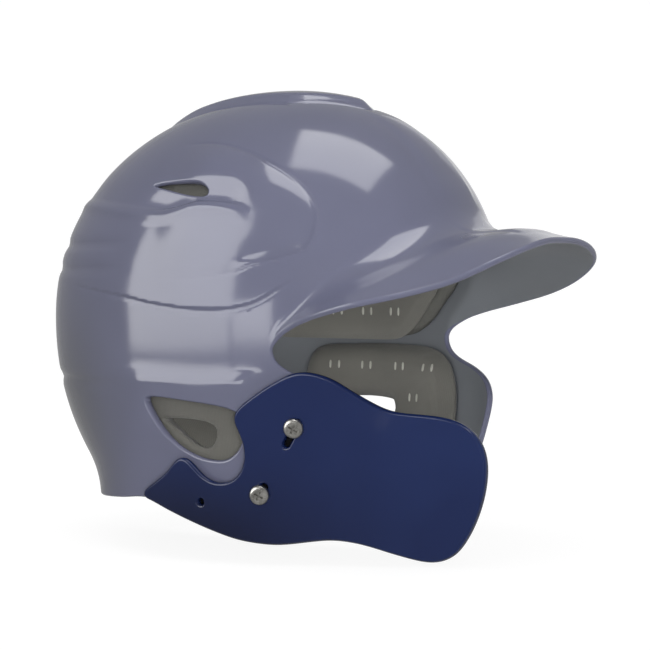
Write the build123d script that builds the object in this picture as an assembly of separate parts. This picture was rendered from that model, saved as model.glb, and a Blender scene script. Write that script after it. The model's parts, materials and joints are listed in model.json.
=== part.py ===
from build123d import *
import os
import numpy as np

# Batting helmet with a bolt-on jaw guard.
# Frame: +X forward (brim), +Y the wearer's left, +Z up, level as worn.
# Origin: centre of the head cavity, on the mid-plane, at the shell's widest level.
# Units: millimetres.

# ---------------------------------------------------------------- driving dimensions
HALF_LEN_FRONT = 120.5    # shell centre to forehead, outside
HALF_LEN_REAR = 124.5     # shell centre to back of head, outside
HALF_WIDTH = 100.0        # shell half width, outside
CROWN_HEIGHT = 115.5      # equator to crown, before the raised panel
PLAN_EXP = 2.15           # roundness of the plan section
UP_EXP = 2.12             # roundness of the side section
CROWN_SHIFT = 9.0         # crown sits this far forward of the shell centre
SHELL_T = 3.2             # moulded shell wall
BRIM_T = 2.8              # brim wall
BRIM_TIP_X = 163.2        # front of the brim on the mid-plane
BRIM_HALF_W = 96.3        # widest half width of the brim
GUARD_T = 3.8             # jaw guard wall
GUARD_GAP = 1.2           # shell to guard
GUARD_KNEE_X = 58.0       # in front of this the guard leaves the shell's curve
GUARD_CURL = 0.0007       # how fast the front of the guard curls inward, 1/mm
SLOT_R = 2.65             # half width of the guard's slots
SHANK_R = 2.4             # screw shank
HEAD_R = 4.75             # pan head radius
HEAD_H = 3.0              # pan head height
TAB_HOLE_R = 2.5          # spare strap hole in the guard's rear tab
TRAVEL = 2.0              # guard travel each way along its slots

SCREW_U = (65.4, -49.0)   # upper screw, X and Z
SCREW_L = (47.9, -81.3)   # lower screw, X and Z
TAB_HOLE = (16.8, -86.4)  # strap hole, X and Z


# ---------------------------------------------------------------- shell surface
def smooth(t):
    t = np.clip(t, 0, 1)
    return t * t * (3 - 2 * t)


def shift(z):
    return CROWN_SHIFT * np.clip(z / CROWN_HEIGHT, 0, 1) ** 2


def plan_r(th):
    c, s = np.cos(th), np.sin(th)
    a = HALF_LEN_REAR + (HALF_LEN_FRONT - HALF_LEN_REAR) * smooth((c + 1) / 2)
    return ((np.abs(c) / a) ** PLAN_EXP + (np.abs(s) / HALF_WIDTH) ** PLAN_EXP) ** (-1 / PLAN_EXP)


def rearness(th):
    return smooth((-np.cos(th) - 0.1) / 0.8)


def taper(z, th):
    if z >= 0:
        return max(0.0, 1 - (min(z, CROWN_HEIGHT) / CROWN_HEIGHT) ** UP_EXP) ** (1 / UP_EXP)
    low = 230.0 + (128.0 - 230.0) * rearness(th)
    return max(0.0, 1 - (min(-z, 122.0) / low) ** 2.1) ** (1 / 2.1)


def flare(z, th):
    return rearness(th) * min(max(-z - 70, 0), 60) ** 2 * 0.016


def dome(th, z, f=None):
    f = taper(z, th) if f is None else f
    r = plan_r(th) * f + flare(z, th)
    return np.array([r * np.cos(th) + shift(z), r * np.sin(th), z])


def dome_a(th, a):
    """a runs from the crown (0) to the equator (90) and 2 mm of height per unit below it."""
    if a < 90:
        f = np.sin(np.radians(a))
        return dome(th, CROWN_HEIGHT * (1 - f ** UP_EXP) ** (1 / UP_EXP), f)
    return dome(th, -2.0 * (a - 90))


def skin(th, a, off):
    """Point at a distance off from the shell's outside, negative inwards."""
    p = dome_a(th, a)
    if a < 1.0:
        return p + np.array([0, 0, off])
    e = 0.004
    du = dome_a(th + e, a) - dome_a(th - e, a)
    dv = dome_a(th, a + 0.25) - dome_a(th, a - 0.25)
    n = np.cross(dv, du)
    n /= np.linalg.norm(n)
    if np.dot(n, np.array([np.cos(th), np.sin(th), 0.6])) < 0:
        n = -n
    return p + off * n


def side_y(x, z):
    """Half width of the shell's outside at x, z below the equator."""
    lo, hi = 0.02, np.pi - 0.02
    for _ in range(34):
        m = (lo + hi) / 2
        if (plan_r(m) * taper(z, m) + flare(z, m)) * np.cos(m) > x:
            lo = m
        else:
            hi = m
    th = (lo + hi) / 2
    return float((plan_r(th) * taper(z, th) + flare(z, th)) * np.sin(th))


def side_skin(x, z, off, side):
    p = np.array([x, side_y(x, z), z])
    dx = np.array([1.0, side_y(x + 0.5, z) - side_y(x - 0.5, z), 0])
    dz = np.array([0, side_y(x, z + 0.5) - side_y(x, z - 0.5), 1.0])
    n = np.cross(dz, dx)
    n /= np.linalg.norm(n)
    p = p + off * n
    return np.array([p[0], side * p[1], p[2]])


# ---------------------------------------------------------------- builders
def face_of(grid):
    """Smooth face through a grid of points, lofted through one spline per row."""
    m = len(grid[0])
    par = [k / (m - 1) for k in range(m)]
    rows = [Wire([Edge.make_spline([Vector(*map(float, p)) for p in row], parameters=par)]) for row in grid]
    return Shell.make_loft(rows).faces()[0]


def sheet(top, bottom):
    """Closed solid between two grids of points."""
    fa, fb = face_of(top), face_of(bottom)

    def mid_edges(face, grid):
        n, m = len(grid), len(grid[0])
        marks = [grid[0][m // 2], grid[-1][m // 2], grid[n // 2][0], grid[n // 2][-1]]
        out = []
        for k in marks:
            v = Vector(*[float(c) for c in k])
            out.append(min(face.edges(), key=lambda e: e.distance_to(Vertex(v.X, v.Y, v.Z))))
        return out

    walls = [Face.make_surface_from_curves(a, b) for a, b in zip(mid_edges(fa, top), mid_edges(fb, bottom))]
    s = Solid(Shell([fa, fb] + walls))
    if s.volume < 0:
        s = Solid(Shell([-f for f in s.faces()]))
    return s


def layer(fn, us, vs, off_out, off_in):
    return sheet([[fn(u, v, off_out) for v in vs] for u in us], [[fn(u, v, off_in) for v in vs] for u in us])


def cap(a_max, off, n=21, reach=0.96):
    """Square grid over the crown, without a pole."""
    t = np.linspace(-reach, reach, n)
    g = []
    for u in t:
        row = []
        for v in t:
            x, y = u * np.sqrt(1 - v * v / 2), v * np.sqrt(1 - u * u / 2)
            row.append(skin(np.arctan2(y, x), np.hypot(x, y) * a_max, off))
        g.append(row)
    return g


def prism(xz, y0, y1, round_it=False):
    """Outline in X and Z, extruded along Y."""
    pts = [Vector(x, y0, z) for x, z in xz]
    if round_it:
        w = Wire([Edge.make_spline(pts, periodic=True)])
    else:
        w = Wire.make_polygon(pts, close=True)
    return Solid.extrude(Face(w), Vector(0, y1 - y0, 0))


def bored(part_, tool):
    r = part_ - tool
    return r.solids().sort_by(SortBy.VOLUME)[-1]


def interp(x, xs, ys):
    return float(np.interp(x, xs, ys))


os.makedirs("parts", exist_ok=True)
made = {}


def keep(name, solids):
    solids = solids if isinstance(solids, (list, tuple)) else [solids]
    out = []
    for s in solids:
        out += list(s.solids())
    shape = out[0] if len(out) == 1 else Compound(children=out)
    made[name] = shape
    export_step(shape, f"parts/{name}.step")
    print(name, len(out), round(sum(s.volume for s in out) / 1000, 2), "cm3")


# ---------------------------------------------------------------- outer shell
LOWER = [(-140, -94), (-105, -93.5), (-80, -91.5), (-56.6, -89.3), (-38.7, -87.9), (-20.4, -86.5), (0, -90),
         (22, -97), (45, -101), (63, -97), (76, -86.5), (85, -70), (90, -58), (93.3, -48.6), (93.8, -41.5),
         (88.2, -34), (77.1, -28.6), (63.6, -24.2), (57, -20.5), (53.6, -16), (53.5, -12)]
UNDER_BRIM = [(56.3, -5.5), (62.5, 1.0), (70.5, 9.0), (80, 19.0), (95, 31.0), (108, 40.0), (116, 44.5), (150, 44.5)]
OUTLINE = LOWER + UNDER_BRIM + [(150, 150), (-140, 150)]

shell = sheet(cap(149, 0.0, 17), cap(149, -SHELL_T, 17))
shell = shell & prism(OUTLINE, -150, 150)
shell = shell.solids().sort_by(SortBy.VOLUME)[-1]

# brim: a curved sheet from inside the shell wall out to its edge
BRIM_EDGE = np.array([(BRIM_TIP_X, 0, 41.5), (163.5, 10, 41.4), (163.6, 20, 40.7), (163.1, 30, 39.2), (161.6, 40, 37.0), (158.8, 50, 33.9),
                      (154.6, 58.6, 30.4), (148.2, 65.2, 26.2), (141, 70.4, 22.4), (134, 75.2, 19.5), (127, 80, 17.2), (120, 84.9, 15.2),
                      (113, 89.4, 13.5), (106, 93.2, 11.9), (99, 95.5, 10.3), (92, BRIM_HALF_W, 8.5), (85, 95.9, 6.7), (78, 94.8, 4.9),
                      (72, 93.7, 3.0), (66, 92.8, 0.9), (60.5, 92.6, -2.3), (56.3, 92.8, -6.5), (53.0, 93.1, -12.0)])
EDGE_S = np.concatenate([[0], np.cumsum(np.linalg.norm(np.diff(BRIM_EDGE, axis=0), axis=1))])
EDGE_S = EDGE_S / EDGE_S[-1]


def cubic(x, xs, ys):
    """Monotone-ish Hermite interpolation through the points."""
    d = np.gradient(ys, xs)
    i = int(np.clip(np.searchsorted(xs, x) - 1, 0, len(xs) - 2))
    h = xs[i + 1] - xs[i]
    t = (x - xs[i]) / h
    return float((2 * t**3 - 3 * t**2 + 1) * ys[i] + (t**3 - 2 * t**2 + t) * h * d[i]
                 + (3 * t**2 - 2 * t**3) * ys[i + 1] + (t**3 - t**2) * h * d[i + 1])


def brim_edge(phi):
    """phi from -90 to 90 degrees, 0 at the tip, in step with the length of the edge."""
    u, s = abs(phi) / (np.pi / 2), 1 if phi >= 0 else -1
    x, y, z = (cubic(u, EDGE_S, BRIM_EDGE[:, k]) for k in range(3))
    return np.array([x, s * y, z])


UX = [p[0] for p in UNDER_BRIM]
UZ = [p[1] for p in UNDER_BRIM]


def brim_root(phi):
    a, s = abs(phi), 1 if phi >= 0 else -1
    th = np.radians(61.0) * (a / (np.pi / 2))
    z = 30.0
    for _ in range(30):
        p = dome(th, z)
        z = 0.5 * z + 0.5 * (interp(p[0], UX, UZ) + 2.2)
    r = plan_r(th) * taper(z, th) - 0.2
    return np.array([r * np.cos(th) + shift(z), s * r * np.sin(th), z])


phis = np.radians(np.linspace(-89, 89, 41))
ts = np.linspace(0, 1, 7)


def brim_grid(off):
    roots = [brim_root(p) for p in phis]
    edges = [brim_edge(p) for p in phis]
    top = [[r + (e - r) * t + np.array([0, 0, 2.2 * np.sin(np.pi * t) * np.cos(p) ** 2]) for t in ts]
           for r, e, p in zip(roots, edges, phis)]
    if off == 0:
        return top
    g = np.array(top)
    du = np.gradient(g, axis=0)
    dv = np.gradient(g, axis=1)
    n = np.cross(du, dv)
    n /= np.linalg.norm(n, axis=2, keepdims=True)
    n *= np.sign(n[len(phis) // 2, 3, 2])
    return list(g + off * n)


brim = sheet(brim_grid(0), brim_grid(-BRIM_T))
shell = shell + brim
shell = shell.solids().sort_by(SortBy.VOLUME)[-1]

# ear holes, one each side
EAR = [(-14.0, -37.0), (-6.2, -36.3), (8.6, -37.6), (22.5, -39.0), (33.0, -41.0), (39.0, -44.5), (40.5, -51.0), (37.2, -59.7),
       (32.6, -64.6), (27.2, -66.8), (18.1, -66.3), (9.9, -63.7), (2.6, -59.6), (-4.2, -53.6), (-9.3, -46.9), (-13.0, -41.0)]
ear_cut = prism(EAR, -150, 150)
shell = bored(shell, ear_cut)

# side vents: lens-shaped mouths high on each side
VENT = [(-23.8, 81.2, 67.5), (-15.6, 81.4, 69.1), (-6.0, 82.1, 69.3), (3.3, 82.5, 68.9), (9.3, 83.3, 67.5), (13.3, 84.8, 64.4),
        (12.5, 86.3, 61.7), (6.2, 86.5, 61.6), (-3.5, 85.6, 63.2), (-14.0, 83.7, 65.5)]


def slug(points, n, reach):
    """Closed outline through points, extruded both ways along n."""
    n = np.array(n, float) / np.linalg.norm(n)
    c = np.mean(points, axis=0)
    flat = [np.array(p) - np.dot(np.array(p) - c, n) * n - reach * n for p in points]
    w = Wire.make_polygon([Vector(*map(float, p)) for p in flat], close=True)
    return Solid.extrude(Face(w), Vector(*map(float, 2 * reach * n)))


for s in (1, -1):
    shell = bored(shell, slug([(x, s * y, z) for x, y, z in VENT], (0.0, s * 0.79, 0.61), 9))

# crown vents: a slot beside the raised crown panel on each side
for s in (1, -1):
    slot_pts = [(-14, s * 33.5, 110), (26, s * 31.5, 109), (28, s * 33.5, 108), (26, s * 35.5, 108), (-14, s * 37.0, 108), (-16, s * 35.0, 109)]
    shell = bored(shell, slug(slot_pts, (0.0, s * 0.3, 0.95), 14))


# ---------------------------------------------------------------- jaw guard
def guard_y(x, z):
    if x <= GUARD_KNEE_X:
        return side_y(x, z)
    s0 = side_y(GUARD_KNEE_X - 0.5, z) - side_y(GUARD_KNEE_X + 0.5, z)
    d = x - GUARD_KNEE_X
    return side_y(GUARD_KNEE_X, z) - s0 * d - 0.5 * GUARD_CURL * d * d


def guard_skin(x, z, off):
    dx = np.array([1.0, guard_y(x + 0.5, z) - guard_y(x - 0.5, z), 0])
    dz = np.array([0, guard_y(x, z + 0.5) - guard_y(x, z - 0.5), 1.0])
    n = np.cross(dz, dx)
    n /= np.linalg.norm(n)
    p = np.array([x, guard_y(x, z), z]) + off * n
    return np.array([p[0], -p[1], p[2]])


def guard_normal(x, z):
    a, b = guard_skin(x, z, 1.0), guard_skin(x, z, 0.0)
    return (a - b) / np.linalg.norm(a - b)


def on_guard(x, z, off):
    """Point whose own x and z are given, at offset off."""
    gx, gz = x, z
    for _ in range(12):
        p = guard_skin(gx, gz, off)
        gx += x - p[0]
        gz += z - p[2]
    return guard_skin(gx, gz, off)


GUARD = [(-17.0, -85.6), (-14.2, -83.0), (-2.2, -72.8), (4.6, -66.4), (8.2, -64.7), (12.4, -66.4), (18.6, -73.0), (23.6, -76.1), (29.5, -76.5),
         (35.7, -74.3), (39.8, -68.7), (41.3, -61.3), (39.8, -53.9), (36.8, -47.6), (36.0, -43.9), (39.2, -39.8), (50.8, -30.9),
         (58.1, -26.4), (63.6, -23.3), (69.3, -22.1), (76.3, -23.2), (83.3, -26.0), (89.3, -30.2), (97.0, -35.2), (103.7, -39.0),
         (109.1, -41.0), (119.7, -42.0), (130.9, -43.4), (138.3, -46.5), (143.4, -51.4), (146.4, -58.3), (147.1, -67.5),
         (145.0, -79.6), (140.7, -91.8), (135.2, -102.2), (128.4, -109.6), (121.2, -113.3), (114.6, -113.4), (105.8, -111.0),
         (95.0, -107.2), (83.8, -104.4), (76.2, -103.7), (68.3, -104.6), (56.5, -106.3), (48.4, -106.5), (35.7, -105.0),
         (26.7, -102.6), (11.8, -97.6), (-4.4, -91.6), (-14.5, -87.4)]

gx = np.linspace(-32, 156, 27)
gz = np.linspace(-121, -14, 15)
guard = layer(guard_skin, gx, gz, GUARD_GAP + GUARD_T, GUARD_GAP)
guard = guard & prism(GUARD, -140, -20, round_it=True)
guard = guard.solids().sort_by(SortBy.VOLUME)[-1]

pU = on_guard(*SCREW_U, GUARD_GAP + GUARD_T)
pL = on_guard(*SCREW_L, GUARD_GAP + GUARD_T)
slide = (pU - pL) / np.linalg.norm(pU - pL)
mid = (pU + pL) / 2
out = guard_normal((SCREW_U[0] + SCREW_L[0]) / 2, (SCREW_U[1] + SCREW_L[1]) / 2)
out = out - np.dot(out, slide) * slide
out /= np.linalg.norm(out)
print("slide axis", np.round(slide, 5), "screw axis", np.round(out, 5), "screw spacing", round(float(np.linalg.norm(pU - pL)), 2))


def rod(p, axis, r, a, b):
    """Cylinder about axis through p, from a to b along it."""
    base = p + a * axis
    pl = Plane(origin=Vector(*map(float, base)), z_dir=Vector(*map(float, axis)))
    return Solid.make_cylinder(r, float(b - a), pl)


def slot_tool(p, lo, hi):
    a, b = p + lo * slide, p + hi * slide
    side = np.cross(out, slide)
    c = [a - side * SLOT_R, b - side * SLOT_R, b + side * SLOT_R, a + side * SLOT_R]
    w = Wire.make_polygon([Vector(*map(float, q - 15 * out)) for q in c], close=True)
    return [Solid.extrude(Face(w), Vector(*map(float, 30 * out))), rod(a, out, SLOT_R, -15, 15), rod(b, out, SLOT_R, -15, 15)]


for tool in slot_tool(pU, -8.8, TRAVEL + 0.15) + slot_tool(pL, -TRAVEL - 0.15, 3.8):
    guard = bored(guard, tool)
pT = on_guard(*TAB_HOLE, GUARD_GAP + GUARD_T / 2)
nT = guard_normal(*TAB_HOLE)
guard = bored(guard, rod(pT, nT, TAB_HOLE_R, -12, 12))
print("tab hole centre", np.round(pT, 3), "axis", np.round(nT, 5))

# soft pad inside the guard's front lobe, ahead of the ear flap's edge
PAD = [(99.5, -47.0), (112, -49), (125, -52.5), (131.5, -61), (131, -76), (126, -90), (115, -98.5), (103.5, -97.5), (98.0, -89),
       (99.0, -74), (99.8, -58)]
pad_layer = layer(guard_skin, np.linspace(86, 142, 11), np.linspace(-110, -36, 11), GUARD_GAP - 0.3, GUARD_GAP - 8.0)
cheek = pad_layer & prism(PAD, -140, -20, round_it=True)
cheek = cheek.solids().sort_by(SortBy.VOLUME)[-1]

# ---------------------------------------------------------------- guard fasteners
HEAD_GAP = 0.35
inner = -(GUARD_GAP + GUARD_T) - SHELL_T       # shell's inside, measured from the guard's outside
screws, washers, nuts = [], [], []
for p in (pU, pL):
    # the flap's inside face is not square to the screws, so the washer stands on a flat spot-face
    seat = inner - 0.9
    head = rod(p, out, HEAD_R, HEAD_GAP, HEAD_GAP + HEAD_H)
    head = head.fillet(1.6, [head.edges().sort_by(lambda e: float(np.dot(np.array(tuple(e.center())), out)))[-1]])
    shank = rod(p, out, SHANK_R, seat - 6.2, HEAD_GAP + 0.01)
    scr = head + shank
    side = np.cross(out, slide)
    for d1, d2 in ((slide, side), (side, slide)):
        q = [p + (HEAD_GAP + HEAD_H - 1.5) * out + i * 2.3 * d1 + j * 0.45 * d2 for i, j in ((-1, -1), (1, -1), (1, 1), (-1, 1))]
        w = Wire.make_polygon([Vector(*map(float, k)) for k in q], close=True)
        scr = scr - Solid.extrude(Face(w), Vector(*map(float, 3 * out)))
    screws.append(scr.solids().sort_by(SortBy.VOLUME)[-1])
    washers.append((rod(p, out, 5.6, seat - 1.0, seat) - rod(p, out, SHANK_R + 0.15, seat - 2, seat + 1)).solids()[0])
    hexa = [p + (seat - 1.1) * out + 4.6 * (np.cos(k) * slide + np.sin(k) * side) for k in np.radians(np.arange(0, 360, 60))]
    w = Wire.make_polygon([Vector(*map(float, k)) for k in hexa], close=True)
    nut = Solid.extrude(Face(w), Vector(*map(float, -3.6 * out)))
    nuts.append((nut - rod(p, out, SHANK_R + 0.05, seat - 8, seat + 1)).solids()[0])
    shell = bored(shell, rod(p, out, SHANK_R + 0.2, -30, 0))
    shell = bored(shell, rod(p, out, 6.0, seat - 5, seat))
keep("outer_shell", shell)
keep("jaw_guard", guard)
keep("guard_cheek_pad", cheek)
keep("guard_screws", screws)
keep("guard_washers", washers)
keep("guard_nuts", nuts)

# ---------------------------------------------------------------- impact liner and comfort pads
LINER_T = 10.0
PAD_T = 7.0
G0 = -(SHELL_T + 0.8)           # liner outside, on its glue line
G1 = G0 - LINER_T               # liner inside
P0 = G1 - 0.3                   # comfort pad outside
P1 = P0 - PAD_T                 # comfort pad inside


def by_angle(th0, th1, a0, a1, o, i, n=9, m=7, lower=None):
    ths = np.radians(np.linspace(th0, th1, n))

    def fn(u, v, off):
        end = a1 if lower is None else lower(np.degrees(u))
        return skin(u, a0 + (end - a0) * v, off)

    return layer(fn, ths, np.linspace(0, 1, m), o, i)


keep("liner_crown", sheet(cap(30, G0, 9), cap(30, G1, 9)))
keep("liner_front", by_angle(-47, 47, 34, 62, G0, G1))
keep("liner_left", by_angle(51, 127, 34, 96, G0, G1, lower=lambda t: 83 + 13 * smooth((t - 51) / 22)))
keep("liner_right", by_angle(-127, -51, 34, 96, G0, G1, lower=lambda t: 83 + 13 * smooth((-t - 51) / 22)))
keep("liner_rear", by_angle(131, 229, 34, 104, G0, G1, n=11))
keep("crown_pad", sheet(cap(24, P0, 9), cap(24, P1, 9)))
keep("brow_pad", by_angle(-44, 44, 44, 62, P0, P1))
keep("side_pad_left", by_angle(54, 124, 50, 95, P0, P1, lower=lambda t: 84 + 11 * smooth((t - 54) / 20)))
keep("side_pad_right", by_angle(-124, -54, 50, 95, P0, P1, lower=lambda t: 84 + 11 * smooth((-t - 54) / 20)))
keep("rear_pad", by_angle(134, 226, 56, 103, P0, P1, n=11))
keep("nape_pad", by_angle(142, 218, 107, 131, G0 - 1.2, G0 - 13, n=13))


# ear-flap pads: a foam ring round each ear hole
EAR_PAD = [(-34, -27), (-10, -24), (20, -23.5), (45, -24.5), (58, -29), (64.5, -40), (65, -58), (61, -76), (52, -88), (38, -93),
           (18, -90), (-6, -84), (-28, -80), (-38, -66), (-40, -45)]
EAR_IN = [(-11.0, -40.0), (-2, -39.3), (12, -40.3), (25, -42), (34.0, -45), (36.0, -51), (33.0, -58.6),
          (26.5, -63.5), (18.1, -63.2), (9.9, -60.5), (3.6, -56.6), (-2.2, -51.2), (-7.3, -45.2)]
for name, s in (("ear_pad_left", 1), ("ear_pad_right", -1)):
    lay = layer(lambda x, z, off: side_skin(x, z, off, s), np.linspace(-48, 74, 17), np.linspace(-102, -14, 11), G0 - 0.2, G0 - 14.0)
    y0, y1 = (20, 140) if s > 0 else (-140, -20)
    pad = lay & prism(EAR_PAD, y0, y1, round_it=True)
    pad = bored(pad, prism(EAR_IN, y0, y1, round_it=True))
    if s < 0:
        for p in (pU, pL):
            pad = bored(pad, rod(p, out, 7.0, -40, 0))
    keep(name, pad)
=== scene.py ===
import json
import math
import bmesh
import bpy
import numpy as np
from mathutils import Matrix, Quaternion, Vector
from mathutils.geometry import delaunay_2d_cdt
from mathutils.kdtree import KDTree

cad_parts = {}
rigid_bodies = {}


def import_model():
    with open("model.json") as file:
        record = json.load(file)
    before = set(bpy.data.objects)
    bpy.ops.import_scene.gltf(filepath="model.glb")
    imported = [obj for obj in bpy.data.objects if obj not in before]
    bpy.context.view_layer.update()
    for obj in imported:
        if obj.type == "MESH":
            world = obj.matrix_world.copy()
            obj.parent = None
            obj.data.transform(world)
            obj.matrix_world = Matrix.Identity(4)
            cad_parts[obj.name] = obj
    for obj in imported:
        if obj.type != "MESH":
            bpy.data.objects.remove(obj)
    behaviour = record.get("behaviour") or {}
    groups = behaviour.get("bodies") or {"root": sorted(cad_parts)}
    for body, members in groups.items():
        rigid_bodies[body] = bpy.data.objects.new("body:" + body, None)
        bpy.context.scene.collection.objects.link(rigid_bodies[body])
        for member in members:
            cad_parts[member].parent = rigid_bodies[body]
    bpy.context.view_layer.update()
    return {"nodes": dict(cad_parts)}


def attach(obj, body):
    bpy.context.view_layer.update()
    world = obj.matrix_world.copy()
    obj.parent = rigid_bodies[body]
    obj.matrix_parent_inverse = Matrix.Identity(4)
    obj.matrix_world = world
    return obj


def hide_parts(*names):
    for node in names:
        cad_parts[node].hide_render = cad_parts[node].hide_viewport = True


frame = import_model()
NODES = frame["nodes"]
MM = 0.001

# ---------------------------------------------------------------- shell surface, in mm
T_SHELL = 3.2
G_GAP, G_T = 1.2, 3.8


def smooth(t):
    t = np.clip(t, 0, 1)
    return t * t * (3 - 2 * t)


def unit(v):
    return v / np.maximum(np.linalg.norm(v, axis=-1, keepdims=True), 1e-12)


def shift(z):
    return 9.0 * np.clip(z / 115.5, 0, 1) ** 2


def plan_r(th):
    c, s = np.cos(th), np.sin(th)
    a = 124.5 + (120.5 - 124.5) * smooth((c + 1) / 2)
    return ((np.abs(c) / a) ** 2.15 + (np.abs(s) / 100.0) ** 2.15) ** (-1 / 2.15)


def rearness(th):
    return smooth((-np.cos(th) - 0.1) / 0.8)


def taper(z, th):
    up = np.maximum(1 - (np.clip(z, 0, 115.5) / 115.5) ** 2.12, 0) ** (1 / 2.12)
    low = 230.0 - 102.0 * rearness(th)
    dn = np.maximum(1 - (np.clip(-z, 0, 122) / low) ** 2.1, 0) ** (1 / 2.1)
    return np.where(z >= 0, up, dn)


def flare(z, th):
    return rearness(th) * np.clip(-z - 70, 0, 60) ** 2 * 0.016


def dome_a(th, a):
    f = np.sin(np.radians(np.clip(a, 0, 90)))
    z = np.where(a < 90, 115.5 * np.maximum(1 - f ** 2.12, 0) ** (1 / 2.12), -2.0 * (a - 90))
    t = np.where(a < 90, f, taper(z, th))
    r = plan_r(th) * t + np.where(a < 90, 0, flare(z, th))
    return np.stack([r * np.cos(th) + shift(z), r * np.sin(th), z + 0 * r], -1)


def a_of_z(z):
    z = np.asarray(z, float)
    f = np.maximum(1 - (np.clip(z, 0, 115.5) / 115.5) ** 2.12, 0) ** (1 / 2.12)
    return np.where(z >= 0, np.degrees(np.arcsin(np.clip(f, 0, 1))), 90 - z / 2)


def hermite(x, xs, ys):
    d = np.gradient(ys, xs)
    i = np.clip(np.searchsorted(xs, x) - 1, 0, len(xs) - 2)
    h = xs[i + 1] - xs[i]
    t = (x - xs[i]) / h
    return ((2 * t**3 - 3 * t**2 + 1) * ys[i] + (t**3 - 2 * t**2 + t) * h * d[i]
            + (3 * t**2 - 2 * t**3) * ys[i + 1] + (t**3 - t**2) * h * d[i + 1])


# brim: dome front, a moulded fillet, then out to the edge
TB = math.radians(60.3)
BRIM_EDGE = np.array([(163.2, 0, 41.5), (163.5, 10, 41.4), (163.6, 20, 40.7), (163.1, 30, 39.2), (161.6, 40, 37.0), (158.8, 50, 33.9),
                      (154.6, 58.6, 30.4), (148.2, 65.2, 26.2), (141, 70.4, 22.4), (134, 75.2, 19.5), (127, 80, 17.2), (120, 84.9, 15.2),
                      (113, 89.4, 13.5), (106, 93.2, 11.9), (99, 95.5, 10.3), (92, 96.3, 8.5), (85, 95.9, 6.7), (78, 94.8, 4.9),
                      (72, 93.7, 3.0), (66, 92.8, 0.9), (60.5, 92.6, -2.3), (56.3, 92.8, -6.5), (53.0, 93.1, -12.0)])
EDGE_S = np.concatenate([[0], np.cumsum(np.linalg.norm(np.diff(BRIM_EDGE, axis=0), axis=1))])
EDGE_S = EDGE_S / EDGE_S[-1]
UNDER = np.array([(56.3, -5.5), (62.5, 1.0), (70.5, 9.0), (80, 19.0), (95, 31.0), (108, 40.0), (116, 44.5), (150, 44.5)])
_rt = np.radians(np.linspace(0, 61.0, 62))
_rz = np.full_like(_rt, 30.0)
for _ in range(60):
    _p = plan_r(_rt) * taper(_rz, _rt) * np.cos(_rt) + shift(_rz)
    _rz = 0.5 * _rz + 0.5 * (np.interp(_p, UNDER[:, 0], UNDER[:, 1]) + 2.2)
for _ in range(14):
    _e = np.concatenate([_rz[1:2], _rz, 2 * _rz[-1:] - _rz[-2:-1]])
    _rz = (_e[:-2] + 2 * _e[1:-1] + _e[2:]) / 4


def brim_parts(th):
    """Start on the dome, fillet controls, fillet end and edge for each angle."""
    t = np.minimum(np.abs(th), TB)
    sg = np.where(th >= 0, 1.0, -1.0)
    phi = t / TB * np.pi / 2
    E = np.stack([hermite(t / TB, EDGE_S, BRIM_EDGE[:, k]) for k in range(3)], -1)
    D = dome_a(np.array([TB]), np.array([96.0]))[0]
    E = E + smooth((phi - math.radians(75)) / math.radians(15))[..., None] * (D - BRIM_EDGE[-1])
    thr = t * 61.0 / 60.3
    zr = hermite(thr, _rt, _rz)
    r = plan_r(thr) * taper(zr, thr) - 0.2
    R = np.stack([r * np.cos(thr) + shift(zr), r * np.sin(thr), zr], -1)
    k = 1 - smooth(t / TB)
    a_s = a_of_z(zr) - (2.2 + 4.3 * k)
    S = dome_a(t, a_s)
    tS = unit(dome_a(t, a_s + 0.2) - dome_a(t, a_s - 0.2))
    RE = E - R
    le = np.linalg.norm(RE, axis=-1)
    d = RE / le[..., None]
    lf = np.minimum(12.0, 0.45 * le)
    F = R + lf[..., None] * d
    h1 = 0.6 * np.linalg.norm(R - S, axis=-1)
    P1 = S + h1[..., None] * tS
    P2 = F - (0.6 * lf)[..., None] * d
    sB = (np.linalg.norm(R - S, axis=-1) + lf) * 0.95
    L = sB + (le - lf)
    return sg, phi, a_s, S, P1, P2, F, d, sB, L


def brim_end(th):
    _, _, a_s, _, _, _, _, _, _, L = brim_parts(th)
    return a_s + L / 2


def surf(th, a):
    """Outside of the shell, before its panels and ridges."""
    P = dome_a(th, a)
    sg, phi, a_s, S, P1, P2, F, d, sB, L = brim_parts(th)
    s = (a - a_s) * 2
    on = (np.abs(th) < TB) & (s > 0) & (a < a_s + L / 2 + 1.6)
    t = np.clip(s / sB, 0, 1)[..., None]
    B = (1 - t)**3 * S + 3 * (1 - t)**2 * t * P1 + 3 * (1 - t) * t * t * P2 + t**3 * F
    e = np.maximum(s - sB, 0)
    q = B + e[..., None] * d
    tau = np.clip(e / np.maximum(L - sB, 1e-6), 0, 1)
    q[..., 2] += 2.0 * np.cos(phi)**2 * np.sin(np.pi * tau)**2
    q[..., 1] *= sg
    w = (smooth((TB - np.abs(th)) / math.radians(3)) * on)[..., None]
    return P * (1 - w) + q * w


# conformal-like chart of the whole shell: polar about the crown
def rho_of(a):
    return np.where(a <= 90, 110 * np.tan(np.radians(np.clip(a, 0, 90)) / 2), 110 * np.exp(0.019 * (np.maximum(a, 90) - 90)))


def a_of(rho):
    return np.where(rho <= 110, 2 * np.degrees(np.arctan(rho / 110)), 90 + np.log(np.maximum(rho, 110) / 110) / 0.019)


def to_uv(th, a):
    r = rho_of(a)
    return np.stack([r * np.cos(th), r * np.sin(th)], -1)


def from_uv(uv):
    return np.arctan2(uv[..., 1], uv[..., 0]), a_of(np.hypot(uv[..., 0], uv[..., 1]))


def with_normals(f, uv, e):
    """Points of f at chart points uv, and unit normals by central differences."""
    P = f(uv)
    du, dv = np.zeros(2), np.zeros(2)
    du[0], dv[1] = e, e
    N = unit(np.cross(f(uv + du) - f(uv - du), f(uv + dv) - f(uv - dv)))
    return P, N


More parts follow.
